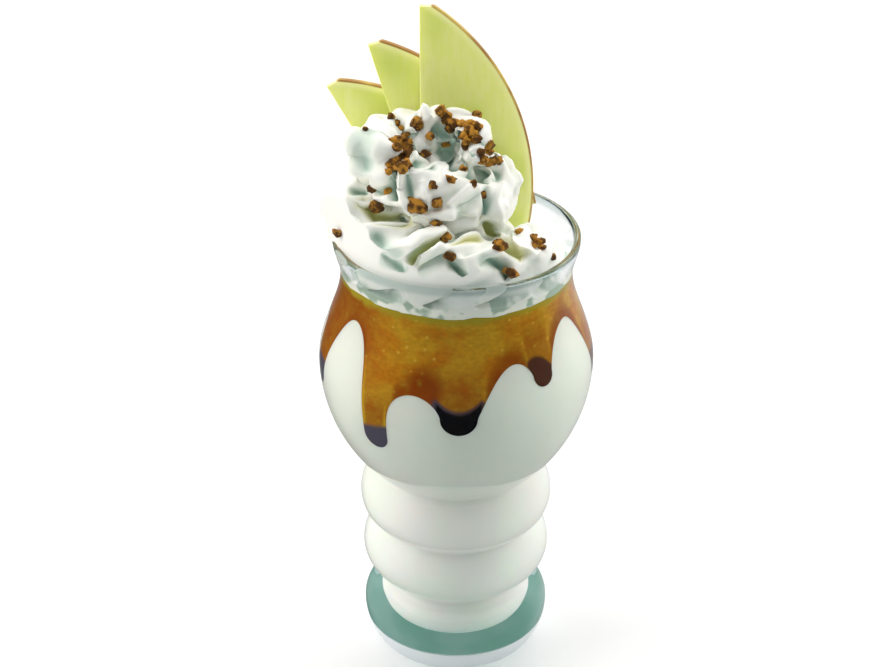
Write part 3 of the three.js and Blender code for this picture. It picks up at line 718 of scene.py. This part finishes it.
fan = []
for node, name, tip_x, tip_z, depth, turn in SLICES:
    length = (tip_z - SLICE_FOOT) / math.cos(math.radians(turn))
    low = math.asin((HALF_CHORD - length) / SKIN_RADIUS)
    high = math.asin((HALF_CHORD - TIP_BLUNTED) / SKIN_RADIUS)
    outline = [(0, -TIP_BLUNTED), (0, -length)]
    for i in range(SKIN_STEPS + 1):
        angle = low + (high - low) * i / SKIN_STEPS
        outline.append((SKIN_RADIUS * math.cos(angle) - CUT_FROM_CENTRE,
                        SKIN_RADIUS * math.sin(angle) - HALF_CHORD))
    bm = bmesh.new()
    face = bm.faces.new([bm.verts.new((x * MM, y * MM, 0)) for x, y in outline])
    made = bmesh.ops.extrude_face_region(bm, geom=[face])["geom"]
    bmesh.ops.translate(bm, vec=(0, 0, SLICE_THICKNESS * MM),
                        verts=[v for v in made if isinstance(v, bmesh.types.BMVert)])
    bmesh.ops.recalc_face_normals(bm, faces=bm.faces)
    rims = [e for e in bm.edges if len({round(v.co.z, 6) for v in e.verts}) == 1]
    bmesh.ops.bevel(bm, geom=rims, offset=CUT_ROUND * MM, offset_type="OFFSET", segments=3,
                    profile=0.5, affect="EDGES", material=-1)
    uv = bm.loops.layers.uv.new("cut_face")
    for face in bm.faces:
        for loop in face.loops:
            loop[uv].uv = (loop.vert.co.x / MM / MAP_SPAN, loop.vert.co.y / MM / MAP_SPAN)
    back = depth + (tip_z - FAN_LEVEL) * math.tan(FAN_LEAN)
    stand = (Matrix.Translation(Vector((tip_x, back, tip_z)) * MM)
             @ Matrix.Rotation(math.pi / 2 - FAN_LEAN, 4, "X")
             @ Matrix.Rotation(math.radians(turn), 4, "Z"))
    bmesh.ops.transform(bm, matrix=stand, verts=bm.verts)
    slice_ = piece(name, bm, APPLE_FLESH)
    slice_.data.set_sharp_from_angle(angle=CUT_SHARP)
    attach(slice_, "root")
    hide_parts(node)
    fan.append(slice_)

# ---------------------------------------------------------------- the whipped cream
# Cream piped through a star nozzle: a rope with five flutes, laid in a spiral that rises round a
# mound to a peak, on a bed that meets the wall. It is soft, so its flutes have slumped into folds
# at the front, and the glass's lip and the apple slices are pressed into it. Its folds and hollows
# are painted teal and lime, and the cream below the lip teal-grey in streaks, all painted shade.

# Stations along the rope: turned so far in degrees, reach from the swirl's middle, height of
# its core, thickness, and where the middle lies from left to right.
SWIRL = [(0, 23.5, 136.5, 5, -1), (16, 23.5, 137, 9.5, -1), (50, 23.5, 140, 10.5, -2),
         (110, 24, 143, 11, -3), (195, 25.5, 148, 11.5, -5), (285, 20.5, 147, 10.5, -6),
         (365, 14, 154, 9.3, -5), (460, 12, 160, 9.4, -7), (555, 13.2, 168, 9.2, -8.6),
         (645, 8, 169.5, 7.6, -6), (720, 9.5, 170.5, 6.6, -5.5), (775, 9.5, 167, 3, -5.5)]
SWIRL_START = 10
SWIRL_DEPTH_MIDDLE = -2
FLUTES = 5
FLUTE_DEPTH = 0.3
FLUTE_SHARPNESS = 1.3
FLUTE_POINTS = 12
FLUTE_TWIST = -1.3
THINNEST_TWIST = 4
ROPE_STEP = 0.12
ROPE_LENGTHS = [(0, 370), (350, 600), (585, 775)]
PEAK_FOOT = Vector((-9, 1, 168))
PEAK_TIP = Vector((-9.5, 2, 180.5))
PEAK_THICKNESS = 5
PEAK_END = 0.3
PEAK_TAPER = 0.8
PEAK_STEPS = 16
BED_LOW = 128.5
BED_TOP = 133.9
MOUND_MIDDLE = (-5, -2.5)
MOUND = [(0, 133), (27, 133), (21.6, 142), (13.5, 153), (8.1, 164), (0, 166)]
MOUND_STEPS = 96
FUSED_SIZE = 0.5


def station(turn, part):
    """One value of the swirl at a turn, eased between the stations beside it."""
    after = next((i for i, stop in enumerate(SWIRL) if i and stop[0] >= turn), len(SWIRL) - 1)
    low, high = SWIRL[after - 1], SWIRL[after]
    return ease(low[part], high[part], (turn - low[0]) / (high[0] - low[0]))


def rope_core(turn):
    """Middle of the rope at a turn."""
    angle, reach = math.radians(SWIRL_START - turn), station(turn, 1)
    return Vector((station(turn, 4) + reach * math.cos(angle),
                   SWIRL_DEPTH_MIDDLE + reach * math.sin(angle), station(turn, 2)))


def pipe(bm, cores, thicknesses):
    """Pipes one fluted length: its star section is carried from core to core and turns."""
    points = FLUTES * FLUTE_POINTS
    ring = bmesh.ops.create_circle(bm, cap_ends=True, segments=points, radius=1)["verts"]
    for vertex in ring:
        angle = math.atan2(vertex.co.y, vertex.co.x)
        crest = ((1 + math.cos(FLUTES * angle)) / 2) ** FLUTE_SHARPNESS
        vertex.co *= 1 - FLUTE_DEPTH * (1 - crest)
    edges = list({edge for vertex in ring for edge in vertex.link_edges})
    side, spin, last = Vector((0, 0, 1)), 0.0, None
    for i, core in enumerate(cores):
        before, after = cores[max(i - 1, 0)], cores[min(i + 1, len(cores) - 1)]
        along = (after - before).normalized()
        side = (side - along * side.dot(along)).normalized()
        spin += FLUTE_TWIST * (core - before).length / max(thicknesses[i], THINNEST_TWIST)
        turn = Matrix((side, along.cross(side), along)).transposed().to_4x4()
        at = (Matrix.Translation(core * MM) @ turn @ Matrix.Rotation(spin, 4, "Z")
              @ Matrix.Scale(thicknesses[i] * MM, 4))
        if last is not None:
            edges, ring = drawn_on(bm, edges)
        bmesh.ops.transform(bm, matrix=at if last is None else at @ last.inverted(), verts=ring)
        last = at
    bmesh.ops.contextual_create(bm, geom=edges)


bm = bmesh.new()
for start, end in ROPE_LENGTHS:
    turns = [start]
    while turns[-1] < end:
        forward = ROPE_STEP * station(turns[-1], 3) / math.radians(station(turns[-1], 1))
        turns.append(min(turns[-1] + forward, end))
    pipe(bm, [rope_core(turn) for turn in turns], [station(turn, 3) for turn in turns])
shares = [i / PEAK_STEPS for i in range(PEAK_STEPS + 1)]
pipe(bm, [PEAK_FOOT.lerp(PEAK_TIP, share) for share in shares],
     [PEAK_THICKNESS * (1 - share) ** PEAK_TAPER + PEAK_END for share in shares])
bmesh.ops.recalc_face_normals(bm, faces=bm.faces)


def joined(bm, other, move=(0, 0, 0)):
    """Adds another body's mesh to this one."""
    bmesh.ops.translate(other, vec=Vector(move) * MM, verts=other.verts)
    passing = bpy.data.meshes.new("passing")
    other.to_mesh(passing)
    other.free()
    bm.from_mesh(passing)
    bpy.data.meshes.remove(passing)


BED_RADIUS = inner_radius(BED_TOP) + 1
BED = [(0, BED_LOW), (BED_RADIUS, BED_LOW), (BED_RADIUS, BED_TOP), (0, BED_TOP)]
joined(bm, turned(BED, MOUND_STEPS))
joined(bm, turned(MOUND, MOUND_STEPS), (*MOUND_MIDDLE, 0))


def shaped(made):
    """Works an object's modifiers into its mesh."""
    held = made.evaluated_get(bpy.context.evaluated_depsgraph_get())
    mesh = bpy.data.meshes.new_from_object(held)
    made.modifiers.clear()
    made.data = mesh


def arrays(mesh):
    """A mesh's points, outward directions and edges as arrays."""
    points = np.zeros(len(mesh.vertices) * 3)
    mesh.vertices.foreach_get("co", points)
    outwards = np.zeros(len(mesh.vertices) * 3)
    mesh.vertices.foreach_get("normal", outwards)
    edges = np.zeros(len(mesh.edges) * 2, int)
    mesh.edges.foreach_get("vertices", edges)
    return points.reshape(-1, 3), outwards.reshape(-1, 3), edges.reshape(-1, 2)


def smoothed(values, edges, times):
    """Values at a mesh's points, each averaged with its neighbours so many times."""
    ends = np.concatenate([edges[:, 0], edges[:, 1]])
    others = np.concatenate([edges[:, 1], edges[:, 0]])
    count = np.bincount(ends, minlength=len(values)).astype(float)
    flat = values.reshape(len(values), -1)
    for _ in range(times):
        sums = [np.bincount(ends, flat[others, k], len(flat)) for k in range(flat.shape[1])]
        flat = 0.5 * flat + 0.5 * np.stack(sums, 1) / np.maximum(count, 1)[:, None]
    return flat.reshape(values.shape)


cream = piece("cream_swirl", bm)
remesh = cream.modifiers.new("fused", "REMESH")
remesh.mode = "VOXEL"
remesh.voxel_size = FUSED_SIZE * MM
shaped(cream)

# The folds on the shown side, where the soft cream slumped: how far each stands out in mm (or
# lies in), its half width, its painted shade, teal or lime (0 for none), and the points it runs
# through. Widths and points are counted across and down in the lens's view, as the crumbs' are.
SHADE_TINTS = {1: "teal_shade", 2: "lime_shade"}
FOLDS = [
    (2.2, 20, 0, [(374, 144)]), (1.6, 5, 0, [(355, 128), (357, 150), (356, 178)]),
    (-2.2, 3, 1, [(390, 106), (398, 122), (404, 138)]),
    (-1.8, 3, 1, [(352, 191), (378, 192), (394, 188)]),
    (-1.2, 8, 1, [(368, 140), (366, 165)]),
    (2.2, 3.2, 0, [(412, 156), (402, 165), (399, 178), (401, 194), (409, 206)]),
    (-2.4, 3.5, 1, [(408, 152), (396, 167), (392.5, 182), (393, 197)]),
    (1.5, 3.5, 0, [(414, 210), (430, 215), (452, 213)]),
    (-1.0, 3, 1, [(408, 176), (410, 196)]), (0.9, 4, 0, [(421, 183), (428, 203)]),
    (-1.3, 3, 1, [(416, 163), (434, 167)]), (2.0, 3.4, 0, [(409, 131), (421, 145), (431, 157)]),
    (-3.6, 8.5, 1, [(444, 134), (452, 142), (450, 152)]),
    (1.6, 4.6, 0, [(436, 110), (455, 107), (476, 112), (485, 125), (483, 140), (475, 149)]),
    (1.5, 3, 0, [(424, 104), (427, 118)]), (-1.6, 3, 1, [(417, 112), (420, 126)]),
    (2.4, 4.5, 0, [(471, 157), (484, 162), (503, 164), (514, 170), (516, 183)]),
    (-2.8, 5, 1, [(454, 165), (469, 172), (494, 177)]),
    (1.1, 2.6, 0, [(447, 160), (445, 177)]), (1.3, 3, 0, [(470, 188), (451, 205)]),
    (-1.7, 4, 1, [(478, 196), (461, 208)]), (1.2, 3, 0, [(463, 211), (474, 212)]),
    (-1.7, 3, 1, [(486, 188), (488, 204), (484, 218)]),
    (1.3, 3, 0, [(500, 186), (496, 204), (494, 219)]),
    (-2.2, 5, 2, [(362, 203), (377, 217), (406, 222)]),
    (1.5, 6, 0, [(346, 203), (351, 226), (366, 248)]),
    (-0.9, 7, 1, [(377, 239), (390, 252)]), (1.6, 7, 0, [(412, 227), (476, 227)]),
    (-1.2, 3, 2, [(452, 241), (480, 238)]),
    (2.2, 4.5, 0, [(391, 257), (420, 238), (438, 236)]),
    (-2.4, 4, 2, [(412, 260), (427, 249), (438, 243)]),
    (1.8, 3.2, 0, [(415, 271), (421, 263), (443, 249)]),
    (-2.4, 4.5, 1, [(421, 273), (436, 262), (448, 257), (463, 272)]),
    (-2.0, 5.5, 1, [(380, 263), (398, 267)]),
    (1.6, 4, 0, [(449, 258), (467, 264), (488, 256), (496, 252)]),
    (-2.2, 5, 1, [(484, 262), (503, 264), (508, 276)]),
    (1.5, 4, 0, [(503, 206), (496, 216), (507, 234), (521, 251), (538, 255)]),
    (-2.0, 4, 2, [(484, 223), (495, 234), (506, 245), (522, 256)]),
]
FOLD_DEPTH = 1.5
SHADE_TINT_SPREAD = 1.5
SLUMP_TIMES = 78
SLUMP_SHARE = 0.85
SHOWN_SOFT_TIMES = 6
EVENED_TIMES = 2
BROAD_TIMES = 64
# Fine ripples on all of the cream: how high and how wide, in mm.
CREAM_RIPPLES = [(0.35, 5), (0.1, 1.5)]
# The view is split into cells. A point counts as hidden that lies so far behind the nearest one
# in its cell.
HIDDEN_BEHIND = 4 * MM
CELL = 2
CELLS_IN_ROW = 10000
FACING_STEEP = 2.5
FACING_EDGE = 0.5
# The cream keeps inside the wall at the front, and reaches over the lip further back.
OVER_WALL_FRONT = 0.12
OVER_WALL_BACK = 7
OVER_WALL_FROM = -22
OVER_WALL_EASES = 30


def seen_by_lens(points):
    """Where points lie across and down in the lens's view, and how far from it."""
    local = (points - np.array(LENS_PLACE)) @ np.array(camera.rotation_euler.to_matrix())
    across = PICTURE_MIDDLE[0] - FOCAL_PIXELS * local[:, 0] / local[:, 2]
    down = PICTURE_MIDDLE[1] + FOCAL_PIXELS * local[:, 1] / local[:, 2]
    return across, down, -local[:, 2]


def shown(points, outwards):
    """How squarely each point faces the lens, and nothing where the cream hides it."""
    across, down, far = seen_by_lens(points)
    cell = (across // CELL).astype(int) * CELLS_IN_ROW + (down // CELL).astype(int)
    order = np.argsort(cell)
    cells, firsts = np.unique(cell[order], return_index=True)
    nearest = np.minimum.reduceat(far[order], firsts)
    hidden = far > nearest[np.searchsorted(cells, cell)] + HIDDEN_BEHIND
    towards = np.array(LENS_PLACE) - points
    towards /= np.linalg.norm(towards, axis=1)[:, None]
    facing = np.einsum("ij,ij->i", towards, outwards) * FACING_STEEP + FACING_EDGE
    return np.where(hidden, 0, np.clip(facing, 0, 1))


def folded(points, outwards, part):
    """The folds' heights in mm at each point, and how much of each painted shade it takes."""
    across, down, _ = seen_by_lens(points)
    height = np.zeros(len(points))
    shade_tints = {tint: np.zeros(len(points)) for tint in SHADE_TINTS}
    for stands, half, tint, path in FOLDS:
        away = np.full(len(points), np.inf)
        for (x0, y0), (x1, y1) in zip(path, path[1:] or path):
            length = (x1 - x0) ** 2 + (y1 - y0) ** 2 or 1
            share = np.clip(((across - x0) * (x1 - x0) + (down - y0) * (y1 - y0)) / length, 0, 1)
            off = np.hypot(across - x0 - share * (x1 - x0), down - y0 - share * (y1 - y0))
            away = np.minimum(away, off)
        height += FOLD_DEPTH * stands * (np.exp(-(away / half) ** 2) * part)
        if tint:
            tinted = np.exp(-(away / half / SHADE_TINT_SPREAD) ** 2) * part
            shade_tints[tint] = np.maximum(shade_tints[tint], tinted)
    return height, shade_tints


def keep(mesh, name, values):
    """Keeps a value for each point of a mesh under a name."""
    mesh.attributes.new(name, "FLOAT", "POINT").data.foreach_set("value", values)


points, outwards, edges = arrays(cream.data)
part = smoothed(shown(points, outwards), edges, SHOWN_SOFT_TIMES)
slumped = smoothed(points, edges, SLUMP_TIMES)
points += (slumped - points) * (SLUMP_SHARE * part[:, None])
height, shade_tints = folded(points, outwards, part)
ripple = np.array([sum(high * noise.noise(Vector(point) / (wide * MM)) for high, wide in CREAM_RIPPLES)
                   for point in points])
points = smoothed(points + outwards * (height + ripple)[:, None] * MM, edges, EVENED_TIMES)
wall = np.interp(points[:, 2], [z * MM for _, z in inside], [r * MM for r, _ in inside])
back = np.clip((points[:, 1] / MM - OVER_WALL_FROM) / OVER_WALL_EASES, 0, 1)
wall += (OVER_WALL_FRONT + OVER_WALL_BACK * back ** 2) * MM
away = np.hypot(points[:, 0], points[:, 1])
points[:, :2] *= np.minimum(1, wall / np.maximum(away, MM))[:, None]
cream.data.vertices.foreach_set("co", points.ravel())
for tint, name in SHADE_TINTS.items():
    keep(cream.data, name, shade_tints[tint])
cream.data.update()

# What the cream gives way to: the sauce below its bed, the glass's lip and collar, and the slices.
PRESSED_IN = 0.05
COLLAR_FROM = 120
COLLAR_STEPS = 256
SLAB_SIZE = 120
ring = [(r - PRESSED_IN, z) for r, z in outside if z > COLLAR_FROM]
ring += [(r, z - PRESSED_IN) for r, z in lip]
ring += [(r + PRESSED_IN, z) for r, z in inside[::-1] if z > COLLAR_FROM]
collar = piece("glass_cutter", turned(ring + [ring[0]], COLLAR_STEPS))
bm = bmesh.new()
bmesh.ops.create_cube(bm, size=SLAB_SIZE * MM)
bmesh.ops.translate(bm, vec=(0, 0, (BED_LOW - SLAB_SIZE / 2) * MM), verts=bm.verts)
slab = piece("slab_cutter", bm)
for pressed in (slab, collar, *fan):
    cut = cream.modifiers.new("pressed", "BOOLEAN")
    cut.operation = "DIFFERENCE"
    cut.object = pressed
    cut.solver = "MANIFOLD"
shaped(cream)
for pressed in (slab, collar):
    bpy.data.objects.remove(pressed)

# How deep each point lies in a hollow, for the painted shade there.
points, outwards, edges = arrays(cream.data)
broad = smoothed(points, edges, BROAD_TIMES)
hollow_shade = np.einsum("ij,ij->i", broad - points, outwards) / MM
keep(cream.data, "hollow_shade", smoothed(hollow_shade, edges, EVENED_TIMES))
cream.data.polygons.foreach_set("use_smooth", [True] * len(cream.data.polygons))

# The cream's white is painted teal and lime along its folds, a painted shade.
CREAM_WHITE = light_of(252, 253, 244)
CREAM_TEAL_SHADE = light_of(144, 180, 162)
CREAM_LIME_SHADE = light_of(200, 198, 112)
CREAM_STREAK_SHADE = light_of(134, 168, 148)
TEAL_SHADE_SHARE = 0.5
LIME_SHADE_SHARE = 0.8
SHADE_TINTED = (0.1, 1.0)
HOLLOW_SHADE_FULL = 1.2
HOLLOW_SHADE_SHARE = 0.8
STREAK_SHADE_HEIGHTS = (138 * MM, 134 * MM)
CREAM_STREAK_SIZE = 7
STREAK_SHADE_SHARE = 0.75
FROTH_SIZE = 0.9
FROTH_DEPTH = 0.06
finish = new_finish("whipped_cream")
tree = finish.node_tree
place = place_on(tree)
marks = {name: add(tree, "Attribute", attribute_name=name).outputs["Fac"]
         for name in ("hollow_shade", "teal_shade", "lime_shade")}
teal_shade = spread(tree, marks["teal_shade"], *SHADE_TINTED, 0.0, TEAL_SHADE_SHARE)
tone = mixed(tree, teal_shade, CREAM_WHITE, CREAM_TEAL_SHADE)
# Hollows are painted teal, a painted shade.
hollow_shade = spread(tree, marks["hollow_shade"], 0.0, HOLLOW_SHADE_FULL, 0.0, HOLLOW_SHADE_SHARE)
tone = mixed(tree, hollow_shade, tone, CREAM_TEAL_SHADE)
height = add(tree, "SeparateXYZ", {0: place}).outputs["Z"]
# Below the lip, where the cream is seen through the wall, it is painted teal-grey in streaks, a
# painted shade.
streak = spread(tree, grain(tree, place, CREAM_STREAK_SIZE, 2), 0.47, 0.56, 0.0, STREAK_SHADE_SHARE)
streak = add(tree, "Math", {0: spread(tree, height, *STREAK_SHADE_HEIGHTS), 1: streak},
             operation="MULTIPLY").outputs[0]
tone = mixed(tree, streak, tone, CREAM_STREAK_SHADE)
lime_shade = spread(tree, marks["lime_shade"], *SHADE_TINTED, 0.0, LIME_SHADE_SHARE)
tone = mixed(tree, lime_shade, tone, CREAM_LIME_SHADE)
froth = add(tree, "Bump", {"Height": grain(tree, place, FROTH_SIZE, 3),
                           "Distance": FROTH_DEPTH * MM, "Strength": 0.3})
surface = add(tree, "BsdfPrincipled", {
    "Base Color": tone, "Roughness": 0.38, "Subsurface Weight": 0.35,
    "Subsurface Radius": (1.0, 0.9, 0.8), "Subsurface Scale": 0.8 * MM,
    "Normal": froth.outputs[0]})
cream.data.materials.clear()
cream.data.materials.append(ended(finish, surface.outputs[0]))
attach(cream, "root")
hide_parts("whipped_cream")

# ---------------------------------------------------------------- the crumbs
# Brown biscuit crumbs, most of two to three millimetres, strewn on the cream from the shown side.
# Each is a small broken lump of baked crust, pressed a little into the cream it landed on.

# Where each crumb lands, across and down in the lens's view, and its size in mm.
CRUMBS = [(416, 125, 3.6), (391, 118, 2.2), (397, 123, 2), (401, 129, 2), (407, 134, 2),
          (340, 232, 2.8), (366, 130, 1.4), (373, 190, 2.4), (389, 192, 2.6), (377, 205, 3.4),
          (414, 205, 4.2), (424, 152, 2.4), (429, 136, 2.6), (447, 120, 3), (452, 128, 2.6),
          (476, 116, 2.6), (466, 147, 2), (446, 144, 2.2), (463, 170, 2), (450, 180, 2.4),
          (433, 186, 2.4), (437, 202, 3), (437, 221, 2.8), (444, 236, 2.6), (450, 256, 2.6),
          (473, 184, 2.2), (484, 194, 2), (499, 248, 3.2), (519, 233, 2), (552, 257, 2),
          (512, 272, 3), (396, 148, 3), (402, 155, 3), (395, 160, 3), (406, 150, 2.6),
          (390, 165, 2.6), (400, 168, 3), (388, 172, 2.2), (408, 143, 2.2), (470, 126, 3),
          (474, 134, 3.2), (468, 141, 3), (477, 141, 2.6), (462, 125, 2), (486, 150, 2.4),
          (482, 160, 2.6), (490, 162, 2.4), (498, 161, 2.4), (532, 238, 2.4), (538, 243, 2.6),
          (541, 249, 2), (533, 245, 2), (393, 143, 3), (400, 160, 3.4), (405, 165, 2.8),
          (398, 140, 2.6), (404, 146, 3), (408, 155, 2.6), (441, 112, 3), (446, 116, 3),
          (455, 124, 3), (470, 132, 3), (466, 136, 2.6), (478, 128, 3), (480, 153, 2.4),
          (494, 160, 2.6), (488, 144, 2.4), (497, 244, 2.4)]
STREW_PLANE = 598
CRUMB_SEED = 7
CRUMB_ROUGH = 0.75
CRUMB_LUMPS = 1.0
CRUMB_LONG = 1.35
CRUMB_RAISED = 0.2
CRUMB_TILT = 3
CRUMB_SHIFT = 100

CRUMB_BROWN = light_of(178, 124, 36)
CRUMB_DARK = light_of(84, 52, 12)
TOASTED_SIZE = 2.4
CRUST_SIZE = 0.5
CRUST_DEPTH = 0.15
finish = new_finish("biscuit_crumb")
tree = finish.node_tree
place = place_on(tree)
toasted = spread(tree, grain(tree, place, TOASTED_SIZE, 3), 0.42, 0.58)
tone = mixed(tree, toasted, CRUMB_BROWN, CRUMB_DARK)
crust = add(tree, "Bump", {"Height": grain(tree, place, CRUST_SIZE, 2),
                           "Distance": CRUST_DEPTH * MM, "Strength": 0.6})
surface = add(tree, "BsdfPrincipled", {"Base Color": tone, "Roughness": 0.75,
                                       "Normal": crust.outputs[0]})
BISCUIT_CRUMB = ended(finish, surface.outputs[0])

bm = bmesh.new()
bm.from_mesh(cream.data)
ground = BVHTree.FromBMesh(bm)
bm.free()
bpy.context.view_layer.update()
lens = camera.matrix_world.copy()
draw = draws(CRUMB_SEED)
scale = STREW_PLANE / FOCAL_PIXELS
bm = bmesh.new()
for across, down, size in CRUMBS:
    right = (across - PICTURE_MIDDLE[0]) * scale
    up = (PICTURE_MIDDLE[1] - down) * scale
    target = lens @ (Vector((right, up, -STREW_PLANE)) * MM)
    fall = (target - lens.translation).normalized()
    spot, normal, _, _ = ground.ray_cast(lens.translation, fall)
    if spot is None:  # a crumb that misses the cream falls away
        continue
    lump = bmesh.ops.create_icosphere(bm, subdivisions=2, radius=size / 2 * MM)["verts"]
    shift = Vector((next(draw), next(draw), next(draw))) * CRUMB_SHIFT
    for vertex in lump:
        vertex.co *= 1 + CRUMB_ROUGH * noise.noise(vertex.co / (CRUMB_LUMPS * MM) + shift)
        vertex.co.x *= CRUMB_LONG
    turn = Matrix.Rotation(math.tau * next(draw), 4, "Z")
    turn = turn @ Matrix.Rotation(next(draw) * CRUMB_TILT, 4, "X")
    raised = Matrix.Translation(spot + normal * CRUMB_RAISED * size * MM)
    bmesh.ops.transform(bm, verts=lump, matrix=raised @ turn)
crumbs = piece("biscuit_crumbs", bm, BISCUIT_CRUMB)
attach(crumbs, "root")
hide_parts("whipped_cream")
